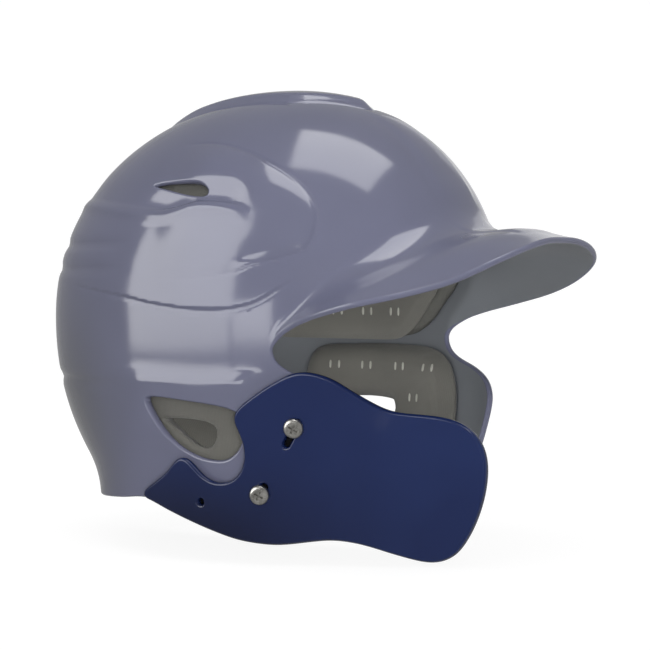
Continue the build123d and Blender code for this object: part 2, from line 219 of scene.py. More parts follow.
def surf_uv(uv):
    th, a = from_uv(uv)
    return surf(th, a)


def surf_n(uv):
    return with_normals(surf_uv, uv, 0.05)


# ---------------------------------------------------------------- panels and ridges on the shell's outside
def seg_dist(x, y, line, closed=False):
    """Distance to a polyline, signed positive on its left when open, inside when closed."""
    L = np.asarray(line, float)
    if closed:
        L = np.vstack([L, L[:1]])
    best = np.full(x.shape, 1e9)
    side = np.ones(x.shape)
    for (x0, y0), (x1, y1) in zip(L[:-1], L[1:]):
        dx, dy = x1 - x0, y1 - y0
        n2 = dx * dx + dy * dy
        t = np.clip(((x - x0) * dx + (y - y0) * dy) / n2, 0, 1)
        d = np.hypot(x - x0 - t * dx, y - y0 - t * dy)
        s = np.where((y - y0) * dx - (x - x0) * dy >= 0, 1.0, -1.0)
        m = d < best
        best = np.where(m, d, best)
        side = np.where(m, s, side)
    if closed:
        side = np.where(inside(np.stack([x, y], -1), [L[:-1]]), 1.0, -1.0)
    return best * side


def inside(p, loops):
    """Even-odd test of points against all loops."""
    x, y = p[..., 0].ravel(), p[..., 1].ravel()
    c = np.zeros(x.shape, bool)
    for L in loops:
        A, B = L, np.roll(L, -1, 0)
        for i in range(0, len(A), 64):
            a, b = A[i:i + 64], B[i:i + 64]
            yy = y[:, None]
            cond = (a[None, :, 1] > yy) != (b[None, :, 1] > yy)
            den = (b[:, 1] - a[:, 1])
            den = np.where(np.abs(den) < 1e-12, 1e-12, den)
            xi = a[None, :, 0] + (yy - a[None, :, 1]) * ((b[:, 0] - a[:, 0]) / den)[None]
            c ^= (np.count_nonzero(cond & (x[:, None] < xi), axis=1) % 2).astype(bool)
    return c.reshape(p.shape[:-1])


def spline(pts, n, closed=False):
    """Catmull-Rom through points, n per span."""
    P = np.asarray(pts, float)
    Q = np.vstack([P[-1:], P, P[:2]]) if closed else np.vstack([2 * P[:1] - P[1:2], P, 2 * P[-1:] - P[-2:-1]])
    out = []
    t = np.linspace(0, 1, n, endpoint=False)[:, None]
    for i in range(len(Q) - 3):
        a, b, c, d = Q[i:i + 4]
        out.append(0.5 * (2 * b + (c - a) * t + (2 * a - 5 * b + 4 * c - d) * t**2 + (3 * b - a - 3 * c + d) * t**3))
    if not closed:
        out.append(P[-1:])
    return np.vstack(out)


def lift(t):
    """Crease at 0, flat at 1."""
    t = np.clip(t, 0, 1)
    return 1 - (1 - t)**2


def eased(s):
    """s where it is positive, 0 where negative, with the corner rounded over about 2 mm."""
    return 0.5 * (s + np.sqrt(s * s + 1.44))


CROWN_EDGE = [(57, 0), (55.2, 5), (50, 11), (42, 18.5), (32, 26), (23, 29.8), (12, 31), (0, 31.2), (-20, 31), (-42, 29), (-53, 26.6), (-63, 22.6), (-71.5, 16.4), (-77, 8.8), (-79, 0)]
CROWN_LOOP = np.array(CROWN_EDGE + [(x, -y) for x, y in CROWN_EDGE[-2:0:-1]], float)
BUBBLE = [(-20, 87.0), (-5.2, 87.7), (6.3, 87.3), (19.3, 84.8), (32.1, 80.5), (44.3, 74.8), (54.3, 68.7), (61.2, 62.8), (65.7, 57.0), (68.2, 51.2),
          (68.7, 43.6), (67.1, 37.4), (62.9, 34.1), (54.3, 31.2), (42.9, 28.4), (35.8, 25.5), (20, 22.5), (5, 21.5), (-8, 21.4), (-20, 22)]
BUBBLE = spline(BUBBLE, 3)
CREASE = spline([(-75, 18.5), (-56.1, 16.3), (-39.5, 14.4), (-27.4, 12.6), (-14.9, 10.3), (-2.4, 8.7), (9.4, 7.4), (19.5, 7.0), (29.6, 7.2), (38.7, 8.7),
                 (46.4, 11.1), (55, 16.6), (62.0, 21.0)], 2)
LIP = spline([(-104, 60.5), (-82.8, 61.0), (-63.9, 59.7), (-43, 57.1), (-19.6, 54.8), (-9.8, 54.7), (0, 55.8), (10.2, 57.6), (18.9, 57.4), (29.3, 56.0), (38, 53)], 3)
EAR = [(-14.0, -37.0), (-6.2, -36.3), (8.6, -37.6), (22.5, -39.0), (33.0, -41.0), (39.0, -44.5), (40.5, -51.0), (37.2, -59.7),
       (32.6, -64.6), (27.2, -66.8), (18.1, -66.3), (9.9, -63.7), (2.6, -59.6), (-4.2, -53.6), (-9.3, -46.9), (-13.0, -41.0)]
BAND = spline([(-52, -21.2), (-40, -21.6), (-20, -22.5), (-2.7, -23.3), (17.6, -23.8), (36, -23.0), (48, -21.8), (58, -21.2)], 8)
VENT = [(-23.8, 67.5), (-15.6, 69.1), (-6.0, 69.3), (3.3, 68.9), (9.3, 67.5), (13.3, 64.4), (12.5, 61.7), (6.2, 61.6), (-3.5, 63.2), (-14.0, 65.5)]


def relief(P, th, a):
    """How far the outside stands proud of the plain surface, mm."""
    x, y, z = P[..., 0], np.abs(P[..., 1]), P[..., 2]
    out = np.zeros(x.shape)
    dome = 1 - smooth((a - 84) / 4) * (np.abs(th) < TB)
    # raised crown panel with a groove round it
    m = z > 78
    if m.any():
        s = seg_dist(x[m], P[..., 1][m], CROWN_LOOP, closed=True)
        out[m] += (3.3 * smooth(s / 8.5) * (0.1 + 0.9 * smooth((x[m] + 80) / 48)) - 1.2 * np.exp(-((s + 0.7) / 1.2)**2)) * smooth((z[m] - 78) / 5)
    # spine down the forehead
    m = (x > 45) & (y < 36) & (z > 40)
    if m.any():
        hw = 13 + 5.5 * smooth((105 - z[m]) / 45)
        s = hw - y[m]
        low = smooth((z[m] - 56) / 12)
        out[m] += 0.9 * smooth(s / 9.0 + 0.5) * low * smooth((x[m] - 50) / 20)
    # centre facet on the brim
    m = (x > 100) & (y < 34) & (z < 60)
    if m.any():
        s = 19 - y[m]
        out[m] += 0.7 * smooth(s / 6.0 + 0.5) * smooth((x[m] - 108) / 12) * (1 - smooth((x[m] - 146) / 14))
    # bubble panel on each side
    m = (x > -20) & (x < 84) & (z > 12) & (z < 96) & (y > 45)
    if m.any():
        s = -seg_dist(x[m], z[m], BUBBLE)
        fade = smooth((x[m] + 16) / 26) * smooth((z[m] - 16) / 26)
        g = np.exp(-((s + 0.6) / 0.9)**2)
        w = smooth((z[m] - 46) / 22)
        out[m] += ((1.6 + 0.8 * w) * lift(eased(s) / (5.5 + 6 * w)) - 0.55 * g) * fade
    # crease under it
    m = (x > -80) & (x < 66) & (z > 0) & (z < 30) & (y > 50)
    if m.any():
        s = seg_dist(x[m], z[m], CREASE)
        fade = smooth((x[m] + 76) / 30) * smooth((64 - x[m]) / 12)
        out[m] += (0.3 * np.exp(-np.maximum(s, 0) / 14.0) * smooth((s + 0.5) / 1.0) - 0.5 * np.exp(-((s + 1.0) / 0.9)**2)) * fade
    # scoop above the lip, down to the side vent
    m = (x > -122) & (x < 44) & (z > 48) & (z < 88)
    if m.any():
        s = seg_dist(x[m], z[m], LIP)
        deep = 0.4 + 2.2 * smooth((x[m] + 32) / 32)
        deep = deep * smooth((40 - x[m]) / 16)
        rec = smooth((s + 0.2) / 2.6) * np.exp(-(np.maximum(s - 4, 0) / 7.5)**2)
        out[m] -= deep * rec
        out[m] += 0.8 * np.exp(-((s + 2.2) / 2.6)**2) * smooth((40 - x[m]) / 16) * smooth((x[m] + 110) / 30)
    # reinforcing band over the ear hole
    m = (x > -50) & (x < 56) & (z < -18) & (z > -70)
    if m.any():
        top = np.interp(x[m], BAND[:, 0], BAND[:, 1])
        s = top - z[m]
        fx = smooth((x[m] + 42) / 26) * smooth((52 - x[m]) / 16)
        fz = smooth((z[m] + 66) / 16)
        out[m] += 1.9 * lift(eased(s) / 6.0) * fx * fz
    # ledges across the back
    m = (np.cos(th) < -0.2)
    if m.any():
        r = smooth((-np.cos(th[m]) - 0.25) / 0.35)
        zz = z[m]
        for z0, h in ((38.5, 1.1), (26.0, 1.0), (-31.0, 1.2)):
            out[m] += -h * np.exp(-((zz - z0) / 2.6)**2) * r
    return np.maximum(out, -2.2) * dome


def shell_out(uv):
    th, a = from_uv(uv)
    P, N = surf_n(uv)
    return P + relief(P, th, a)[..., None] * N


def shell_in(uv):
    P, N = surf_n(uv)
    return P - T_SHELL * N


def feature_zone(P, th, a):
    x, y, z = P[..., 0], np.abs(P[..., 1]), P[..., 2]
    q = np.zeros(x.shape, bool)
    m = z > 74
    s = seg_dist(x[m], P[..., 1][m], CROWN_LOOP, closed=True)
    q[m] |= (s > -4) & (s < 7.5)
    m = (x > 48) & (y < 34) & (z > 40) & (a < 86)
    hw = 13 + 5.5 * smooth((105 - z[m]) / 45)
    q[m] |= (np.abs(hw - y[m]) < 5) | ((np.abs(z[m] - 56) < 4) & (y[m] < hw + 3))
    m = (x > -20) & (x < 84) & (z > 12) & (z < 96) & (y > 45)
    s = -seg_dist(x[m], z[m], BUBBLE)
    q[m] |= (s > -3) & (s < 4)
    m = (x > -80) & (x < 66) & (z > 0) & (z < 30) & (y > 50)
    s = seg_dist(x[m], z[m], CREASE)
    q[m] |= np.abs(s) < 3
    m = (x > -122) & (x < 44) & (z > 48) & (z < 88)
    s = seg_dist(x[m], z[m], LIP)
    q[m] |= (s > -4) & (s < 5)
    m = (x > -50) & (x < 56) & (z < -18) & (z > -70)
    top = np.interp(x[m], BAND[:, 0], BAND[:, 1])
    q[m] |= np.abs(top - z[m]) < 3
    return q


# ---------------------------------------------------------------- slab builder
def resample(P, step, closed=True):
    Q = np.vstack([P, P[:1]]) if closed else P
    d = np.concatenate([[0], np.cumsum(np.linalg.norm(np.diff(Q, axis=0), axis=1))])
    n = max(8, int(round(d[-1] / step)))
    t = np.linspace(0, d[-1], n, endpoint=not closed)
    return np.stack([np.interp(t, d, Q[:, k]) for k in range(Q.shape[1])], -1)


def relax(P, n):
    for _ in range(n):
        P = (np.roll(P, 1, 0) + 2 * P + np.roll(P, -1, 0)) / 4
    return P


def area2(L):
    x, y = L[:, 0], L[:, 1]
    return 0.5 * float(np.sum(x * np.roll(y, -1) - np.roll(x, -1) * y))


def triangulate(loops, pts, keep_off):
    """Delaunay mesh of the region inside loops[0] and outside the rest. Returns chart points and triangles; the loops' points come first, in order."""
    tree = KDTree(sum(len(L) for L in loops))
    k = 0
    for L in loops:
        for p in L:
            tree.insert((float(p[0]), float(p[1]), 0.0), k)
            k += 1
    tree.balance()
    pts = pts[inside(pts, loops)]
    ko = keep_off(pts) if callable(keep_off) else np.full(len(pts), keep_off)
    ok = np.array([tree.find((float(p[0]), float(p[1]), 0.0))[2] > o for p, o in zip(pts, ko)], bool)
    pts = pts[ok]
    verts = np.vstack(loops + [pts])
    edges, k = [], 0
    for L in loops:
        n = len(L)
        edges += [(k + i, k + (i + 1) % n) for i in range(n)]
        k += n
    v2, _, faces, ov, _, _ = delaunay_2d_cdt([Vector((float(p[0]), float(p[1]))) for p in verts], edges, [], 0, 1e-7, True)
    if len(v2) != len(verts):
        raise RuntimeError(f"outline crosses itself: {len(v2)} {len(verts)} near {[tuple(v2[i]) for i in range(len(v2)) if not ov[i]][:4]}")
    back = np.empty(len(v2), int)
    for i, o in enumerate(ov):
        back[i] = o[0]
    F = back[np.array([list(f) for f in faces], int)]
    c = verts[F].mean(1)
    F = F[inside(c, loops)]
    A = verts[F]
    s = (A[:, 1, 0] - A[:, 0, 0]) * (A[:, 2, 1] - A[:, 0, 1]) - (A[:, 1, 1] - A[:, 0, 1]) * (A[:, 2, 0] - A[:, 0, 0])
    F[s < 0] = F[s < 0][:, ::-1]
    F = F[np.abs(s) > 1e-9]
    return verts, F


def slab(name, loops, f_out, f_in, pts_out, pts_in, eps, bulge, rows, keep_off=0.6):
    """Closed sheet between two surfaces over one chart, with rounded rims."""
    loops = [L if (area2(L) > 0) == (i == 0) else L[::-1] for i, L in enumerate(loops)]
    vo, Fo = triangulate(loops, pts_out, keep_off)
    vi, Fi = triangulate(loops, pts_in, keep_off)
    Po, No = with_normals(f_out, vo, eps)
    Pi, Ni = with_normals(f_in, vi, eps)
    P = [Po, Pi]
    N = [No, -Ni]
    faces = [list(map(int, f)) for f in Fo]
    b0 = len(Po)
    faces += [[int(i) + b0 for i in f[::-1]] for f in Fi]
    base = len(Po) + len(Pi)
    k = 0
    for L in loops:
        n = len(L)
        po, pi, no = Po[k:k + n], Pi[k:k + n], No[k:k + n]
        T = unit(np.roll(po, -1, 0) - np.roll(po, 1, 0))
        B = unit(np.cross(T, no))
        M, H = (po + pi) / 2, (po - pi) / 2
        hl = np.linalg.norm(H, axis=1, keepdims=True)
        prev = [k + i for i in range(n)]
        for r in range(1, rows):
            al = math.pi * r / rows
            q = M + H * math.cos(al) + B * bulge * math.sin(al)
            nn = unit(H / hl * math.cos(al) / hl + B * math.sin(al) / bulge)
            P.append(q)
            N.append(nn)
            cur = [base + i for i in range(n)]
            base += n
            for i in range(n):
                j = (i + 1) % n
                faces.append([prev[i], cur[i], cur[j], prev[j]])
            prev = cur
        cur = [b0 + k + i for i in range(n)]
        for i in range(n):
            j = (i + 1) % n
            faces.append([prev[i], cur[i], cur[j], prev[j]])
        k += n
    ob = make(name, np.vstack(P), faces, np.vstack(N))
    side = np.zeros(len(faces), np.int32)
    side[len(Fo):len(Fo) + len(Fi)] = 1
    return ob, side


def make(name, P, faces, N=None):
    me = bpy.data.meshes.new(name)
    me.from_pydata((np.asarray(P) * MM).tolist(), [], faces)
    me.polygons.foreach_set("use_smooth", [True] * len(me.polygons))
    me.update()
    if N is not None:
        me.normals_split_custom_set_from_vertices(N.tolist())
    ob = bpy.data.objects.new(name, me)
    bpy.context.scene.collection.objects.link(ob)
    return ob


def shrink(L, d):
    """Moves a closed chart outline inwards by d (outwards if d < 0)."""
    s = 1 if area2(L) > 0 else -1
    t = np.roll(L, -1, 0) - np.roll(L, 1, 0)
    t /= np.maximum(np.linalg.norm(t, axis=1, keepdims=True), 1e-9)
    d = d if np.isscalar(d) else np.asarray(d)[:, None]
    return L + s * d * np.stack([-t[:, 1], t[:, 0]], -1)


# ---------------------------------------------------------------- shell outlines in the chart
LOWER = np.array([(-140, -94), (-105, -93.5), (-80, -91.5), (-56.6, -89.3), (-38.7, -87.9), (-20.4, -86.5), (0, -90),
                  (22, -97), (45, -101), (63, -97), (76, -86.5), (85, -70), (90, -58), (93.3, -48.6), (93.8, -41.5),
                  (88.2, -34), (77.1, -28.6), (63.6, -24.2), (57, -20.5), (53.6, -16), (53.5, -12)], float)


def th_of_x(x, z):
    """Angle where the shell's side, below the equator, has this x."""
    x, z = np.asarray(x, float), np.asarray(z, float)
    lo, hi = np.full(x.shape, 0.01), np.full(x.shape, np.pi - 0.01)
    for _ in range(36):
        m = (lo + hi) / 2
        big = (plan_r(m) * taper(z, m) + flare(z, m)) * np.cos(m) > x
        lo, hi = np.where(big, m, lo), np.where(big, hi, m)
    return (lo + hi) / 2


def chart_xz(xz):
    th = th_of_x(xz[:, 0], xz[:, 1])
    return to_uv(th, 90 - xz[:, 1] / 2)


def chart_upper(x, y, n=30):
    """Chart point of the upper shell over plan point x, y."""
    x, y = np.asarray(x, float), np.asarray(y, float)
    z = np.full(x.shape, 100.0)
    for _ in range(n):
        th = np.arctan2(y, x - shift(z))
        f = np.clip(np.hypot(x - shift(z), y) / plan_r(th), 0, 1)
        z = 115.5 * np.maximum(1 - f**2.12, 0)**(1 / 2.12)
    return to_uv(th, np.degrees(np.arcsin(f)))


def shell_loops():
    th = np.linspace(0, TB, 200)
    brim = to_uv(th, brim_end(th))
    side = spline(LOWER[::-1], 12)
    side = side[side[:, 0] > -58]
    side = chart_xz(side[1:])
    th_end = math.atan2(side[-1][1], side[-1][0])
    tr = np.linspace(th_end, np.pi, 90)[1:]
    z = np.full(tr.shape, -90.0)
    for _ in range(40):
        x = (plan_r(tr) * taper(z, tr) + flare(z, tr)) * np.cos(tr)
        z = 0.5 * z + 0.5 * np.interp(x, LOWER[:11, 0], LOWER[:11, 1])
    rear = to_uv(tr, 90 - z / 2)
    half = np.vstack([brim, side, rear])
    whole = np.vstack([half, (half[1:-1] * [1, -1])[::-1]])
    whole = relax(resample(whole, 1.7), 6)
    whole = shrink(whole, 0.9)
    loops = [whole]
    for s in (1, -1):
        ear = chart_xz(spline(EAR, 10, closed=True))
        ear = resample(ear, 1.9)
        ear = shrink(relax(ear, 2), -1.6)
        loops.append(ear * [1, s])
        v = spline(VENT, 8, closed=True)
        vy = []
        for x, z in v:
            a = float(a_of_z(z))
            lo, hi = 0.05, np.pi - 0.05
            for _ in range(40):
                m = (lo + hi) / 2
                if float(dome_a(np.array([m]), np.array([a]))[0, 0]) > x:
                    lo = m
                else:
                    hi = m
            vy.append(to_uv(np.array([lo]), np.array([a]))[0])
        loops.append(shrink(relax(resample(np.array(vy), 1.0), 2), -0.5) * [1, s])
        sl = np.array([(-14, 33.2), (6, 33.0), (24, 32.2), (27.5, 33.4), (25, 34.9), (6, 35.8), (-14, 36.0), (-17, 34.6)])
        sl = spline(sl, 6, closed=True)
        sl = chart_upper(sl[:, 0], sl[:, 1])
        loops.append(resample(sl, 0.8) * [1, s])
    return loops


def ring_points(step, a_max=152):
    """Staggered rings of chart points about step mm apart on the shell."""
    out = [np.zeros((1, 2))]
    a, k = step / 2.0, 0
    while a < a_max:
        R = 112 * math.sin(math.radians(min(a, 90)))
        n = max(6, int(round(2 * math.pi * R / step)))
        th = (np.arange(n) + 0.5 * (k % 2)) * 2 * math.pi / n
        out.append(to_uv(th, np.full(n, a)))
        a += step / 2.0 * 0.9
        k += 1
    return np.vstack(out)


def build_shell():
    loops = shell_loops()
    coarse = ring_points(2.3)
    fine = ring_points(1.05)

    def zone(p):
        th, a = from_uv(p)
        return feature_zone(surf_uv(p), th, a)

    out_pts = np.vstack([coarse[~zone(coarse)], fine[zone(fine)]])

    def off(p):
        return 0.75 + 0.25 * np.hypot(p[:, 0], p[:, 1]) / 110

    return slab("shell", loops, shell_out, shell_in, out_pts, coarse, 0.12, 1.35, 7, keep_off=off)


# ---------------------------------------------------------------- jaw guard
def side_y(x, z):
    th = th_of_x(x, z)
    return (plan_r(th) * taper(z, th) + flare(z, th)) * np.sin(th)


def guard_y(x, z):
    xc = np.minimum(x, 58.0)
    y = side_y(xc, z)
    s0 = side_y(np.full_like(xc, 57.5), z) - side_y(np.full_like(xc, 58.5), z)
    d = np.maximum(x - 58.0, 0)
    return y - s0 * d - 0.5 * 0.0007 * d * d


def guard_skin(x, z, off):
    gy = (guard_y(x + 0.5, z) - guard_y(x - 0.5, z))
    gz = (guard_y(x, z + 0.5) - guard_y(x, z - 0.5))
    n = unit(np.stack([-gy, np.ones_like(gy), -gz], -1))
    p = np.stack([x, guard_y(x, z), z], -1) + off[..., None] * n
    p[..., 1] *= -1
    return p


def on_guard(x, z, off):
    gx, gz = x.copy(), z.copy()
    off = np.broadcast_to(np.asarray(off, float), x.shape)
    for _ in range(7):
        p = guard_skin(gx, gz, off)
        gx = gx + x - p[..., 0]
        gz = gz + z - p[..., 2]
    return guard_skin(gx, gz, off)


GUARD = [(-21.2, -86.2), (-16.6, -82.4), (-2.2, -72.8), (4.2, -65.9), (8.2, -63.7), (12.4, -66.4), (18.6, -73.0), (23.6, -76.1), (29.5, -76.5),
         (35.7, -74.3), (39.8, -68.7), (41.3, -61.3), (39.8, -53.9), (36.8, -47.6), (36.0, -43.9), (39.2, -39.8), (50.8, -30.9),
         (58.1, -26.4), (63.6, -23.3), (69.3, -22.1), (76.3, -23.2), (83.3, -26.0), (89.3, -30.2), (97.0, -35.2), (103.7, -39.0),
         (109.1, -41.0), (119.7, -42.0), (130.9, -43.4), (138.3, -46.5), (143.4, -51.4), (146.4, -58.3), (147.1, -67.5),
         (145.0, -79.6), (140.7, -91.8), (135.2, -102.2), (128.9, -110.4), (121.6, -114.3), (114.4, -114.2), (105.8, -111.3),
         (95.0, -107.2), (83.8, -104.4), (76.2, -103.7), (68.3, -104.6), (56.5, -106.3), (48.4, -106.5), (35.7, -105.0),
         (26.7, -102.6), (11.8, -97.6), (-4.4, -91.6), (-14.5, -87.4)]
SLIDE = np.array([0.47512, 0.0725, 0.87693])
SCREW = np.array([0.37318, -0.91914, -0.1262])


def swell(x, z):
    """Soft ridge where the guard's front lobe begins."""
    return 1.3 * np.exp(-((x - 99.5) / 8.5)**2) * smooth((-32 - z) / 20) * smooth((x - 84) / 8) \
        - 0.5 * np.exp(-((x - 118) / 13.0)**2)


def guard_out(uv):
    x, z = uv[:, 0], uv[:, 1]
    return on_guard(x, z, G_GAP + G_T + swell(x, z) * smooth((x - 80) / 10))


def guard_in(uv):
    x, z = uv[:, 0], uv[:, 1]
    return on_guard(x, z, G_GAP + 0 * x)


def build_guard():
    L = relax(resample(spline(GUARD, 10, closed=True), 1.1), 10)
    for _ in range(3):
        L = relax(resample(shrink(L, 0.58), 1.2), 2)
    loops = [L]
    pU = on_guard(np.array([65.4]), np.array([-49.0]), 5.0)[0]
    pL = on_guard(np.array([47.9]), np.array([-81.3]), 5.0)[0]
    side = np.cross(SCREW, SLIDE)
    t = np.linspace(0, 2 * np.pi, 44, endpoint=False)
    for p, lo, hi in ((pU, -8.8, 2.15), (pL, -2.15, 3.8)):
        r = 2.65 + 0.55
        c, s = np.cos(t), np.sin(t)
        q = p + np.where(s > 0, hi, lo)[:, None] * SLIDE + r * s[:, None] * SLIDE + r * c[:, None] * side
        loops.append(q[:, [0, 2]])
    pT = on_guard(np.array([16.8]), np.array([-86.4]), 3.1)[0]
    loops.append(np.stack([pT[0] + 3.0 * np.cos(t), pT[2] + 3.0 * np.sin(t)], -1))
    g = []
    k = 0
    for z in np.arange(-116, -19, 1.75):
        x = np.arange(-20, 150, 2.0) + (k % 2)
        g.append(np.stack([x, np.full(x.shape, z)], -1))
        k += 1
    g = np.vstack(g)
    return slab("jaw_guard_shell", loops, guard_out, guard_in, g, g, 0.1, 1.6, 9, keep_off=0.9)


# ---------------------------------------------------------------- pads
def cushion(name, loops, f, back, front, step, radius, chart_scale=None, crown=0.0, wall=0.3, pts=None, rim=None, waves=None):
    """Foam piece: flat back against its support, rounded and crowned front."""
    loops = [L if (area2(L) > 0) == (i == 0) else L[::-1] for i, L in enumerate(loops)]
    verts, F = triangulate(loops, pts, step * 0.55)
    P0, N0 = with_normals(f, verts, 0.1)
    nb = sum(len(L) for L in loops)
    ring = np.vstack([P0[:nb]])
    tree = KDTree(nb)
    for i, p in enumerate(ring):
        tree.insert(p, i)
    tree.balance()
    d = np.array([tree.find(p)[2] for p in P0])
    T = back - front
    t = np.clip(d / radius, 0, 1)
    prof = wall + (1 - wall) * np.sqrt(np.maximum(1 - (1 - t)**2, 0))
    if waves is not None:
        prof = prof * (1 - waves(P0, d))
    off = back - T * prof - crown * smooth((d - radius * 0.5) / (radius * 3))
    Pf = P0 + off[:, None] * N0
    Pb = P0 + back * N0
    n = len(verts)
    faces = [list(map(int, f[::-1])) for f in F] + [[int(i) + n for i in f] for f in F]
    P = [Pf, Pb]
    k, base = 0, 2 * n
    for L in loops:
        m = len(L)
        a, b = Pf[k:k + m], Pb[k:k + m]
        T3 = unit(np.roll(P0[k:k + m], -1, 0) - np.roll(P0[k:k + m], 1, 0))
        B = unit(np.cross(T3, N0[k:k + m]))
        prev = [k + i for i in range(m)]
        for r in (1, 2, 3):
            s = r / 4
            q = a * (1 - s) + b * s + B * (0.8 * math.sin(math.pi * s))
            P.append(q)
            cur = [base + i for i in range(m)]
            base += m
            faces += [[prev[(i + 1) % m], cur[(i + 1) % m], cur[i], prev[i]][::-1] for i in range(m)]
            prev = cur
        cur = [n + k + i for i in range(m)]
        faces += [[prev[(i + 1) % m], cur[(i + 1) % m], cur[i], prev[i]][::-1] for i in range(m)]
        k += m
    ob = make(name, np.vstack(P), faces)
    bm = bmesh.new()
    bm.from_mesh(ob.data)
    bmesh.ops.recalc_face_normals(bm, faces=bm.faces)
    bm.to_mesh(ob.data)
    bm.free()
    ob.data.polygons.foreach_set("use_smooth", [True] * len(ob.data.polygons))
    ob.data.update()
    FRONT[name] = (verts, d, n)
    return ob


FRONT = {}


def tacks(name, cushions, flat, body, du=24.0, dv=17.5, clear=5.5):
    """Pairs of short bar tacks sewn through cushions, in staggered rows over each cushion's front."""
    V, F = [], []
    nu, nv = 10, 7
    la = np.linspace(-math.pi / 2, math.pi / 2, nv)
    lo = np.linspace(0, 2 * math.pi, nu, endpoint=False)
    for ob in cushions:
        uv, d, n = FRONT[ob.name]
        q = uv if flat else np.stack([np.arctan2(uv[:, 1], uv[:, 0]) * 110, a_of(np.hypot(uv[:, 0], uv[:, 1])) * 2], -1)
        if not flat and "rear" in ob.name or "nape" in ob.name:
            q[:, 0] = np.mod(q[:, 0], 220 * math.pi)
        me = ob.data
        P = np.array([v.co for v in me.vertices[:n]]) / MM
        N = np.array([v.normal for v in me.vertices[:n]])
        lo0, hi0 = q.min(0), q.max(0)
        k = 0
        for v in np.arange(lo0[1] + dv * 0.6, hi0[1], dv):
            for u in np.arange(lo0[0] + du * (0.45 + 0.5 * (k % 2)), hi0[0], du):
                e = np.hypot(q[:, 0] - u, q[:, 1] - v)
                i = int(e.argmin())
                if e[i] > 3 or d[i] < clear:
                    continue
                nn = N[i]
                up = np.array([0, 0, 1.0]) - nn[2] * nn
                if np.linalg.norm(up) < 0.5:
                    up = np.array([1.0, 0, 0]) - nn[0] * nn
                up /= np.linalg.norm(up)
                side = np.cross(nn, up)
                for s in (-2.7, 2.7):
                    j = int(np.linalg.norm(P - (P[i] + s * side), axis=1).argmin())
                    c = P[i] + s * side
                    c = c + ((P[j] - c) @ nn) * nn
                    b = len(V)
                    for a1 in la:
                        ca, sa = math.cos(a1), math.sin(a1)
                        for o1 in lo:
                            V.append(c + up * (2.3 * sa) + side * (0.75 * ca**0.6 * math.cos(o1)) + nn * (0.55 * ca**0.6 * math.sin(o1)))
                    F.extend([[b + r * nu + m, b + r * nu + (m + 1) % nu, b + (r + 1) * nu + (m + 1) % nu, b + (r + 1) * nu + m]
                              for r in range(1, nv - 2) for m in range(nu)])
                    for r, t in ((1, 0), (nv - 2, nv - 1)):
                        for m in range(nu):
                            f = [b + r * nu + m, b + r * nu + (m + 1) % nu, b + t * nu]
                            F.append(f if t else f[::-1])
            k += 1
    V = np.array(V)
    used = sorted({i for f in F for i in f})
    back = {i: k for k, i in enumerate(used)}
    ob = make(name, V[used], [[back[i] for i in f] for f in F])
    dress(ob, STITCH_MAT)
    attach(ob, body)
    return ob


def polar_loop(t0, t1, a0, a1, lower=None, corner=9.0, n=26):
    """Rounded patch between two angles, in the shell's chart."""
    ths = np.radians(np.linspace(t0, t1, n))
    end = np.full(n, float(a1)) if lower is None else lower(np.degrees(ths))
    top = to_uv(ths, np.full(n, float(a0)))
    bot = to_uv(ths, end)
    s = np.linspace(0, 1, 14)[1:-1]
    left = np.vstack([to_uv(ths[:1], np.array([a0 + (end[0] - a0) * k])) for k in s])
    right = np.vstack([to_uv(ths[-1:], np.array([a0 + (end[-1] - a0) * k])) for k in s])
    L = np.vstack([top, right, bot[::-1], left[::-1]])
    L = resample(L, 1.6)
    return relax(L, int(corner * 5))


def polar_points(step):
    return ring_points(step, 150)


G0, G1, P0_, P1_ = -4.0, -14.0, -14.3, -21.3


def ear_chart(uv, s):
    y = side_y(uv[:, 0], uv[:, 1])
    return np.stack([uv[:, 0], s * y, uv[:, 1]], -1)


EAR_PAD = [(-34, -22), (-10, -18.5), (20, -18), (45, -19.5), (58, -26), (64.5, -40), (65, -58), (61, -76), (52, -88), (38, -93),
           (18, -90), (-6, -84), (-28, -80), (-38, -66), (-40, -45)]
EAR_IN = [(-9.0, -47.2), (-2, -46.6), (6, -46.6), (14, -47.2), (20.5, -48.6), (23.6, -51.5), (23.4, -56.2),
          (20.5, -61.0), (16.0, -62.2), (9.9, -60.5), (3.6, -56.6), (-2.2, -52.6), (-6.4, -49.4)]
PAD = [(99.5, -47.0), (112, -49), (125, -52.5), (131.5, -61), (131, -76), (126, -90), (115, -98.5), (103.5, -97.5), (98.0, -89),
       (99.0, -74), (99.8, -58)]


# ---------------------------------------------------------------- materials
def material(name, color, rough, metallic=0.0, spec=None, coat=0.0, coat_rough=0.03):
    m = bpy.data.materials.new(name)
    m.use_nodes = True
    nt = m.node_tree
    b = nt.nodes["Principled BSDF"]
    b.inputs["Base Color"].default_value = (*color, 1)
    b.inputs["Roughness"].default_value = rough
    b.inputs["Metallic"].default_value = metallic
    if spec is not None:
        b.inputs["Specular IOR Level"].default_value = spec
    b.inputs["Coat Weight"].default_value = coat
    b.inputs["Coat Roughness"].default_value = coat_rough
    return m, nt, b


def noise(nt, scale, detail=3.0, rough=0.5, coord=None, vec_scale=None):
    n = nt.nodes.new("ShaderNodeTexNoise")
    n.inputs["Scale"].default_value = scale
    n.inputs["Detail"].default_value = detail
    n.inputs["Roughness"].default_value = rough
    if vec_scale is not None:
        mp = nt.nodes.new("ShaderNodeMapping")
        mp.inputs["Scale"].default_value = vec_scale
        nt.links.new(coord, mp.inputs["Vector"])
        nt.links.new(mp.outputs["Vector"], n.inputs["Vector"])
    else:
        nt.links.new(coord, n.inputs["Vector"])
    return n


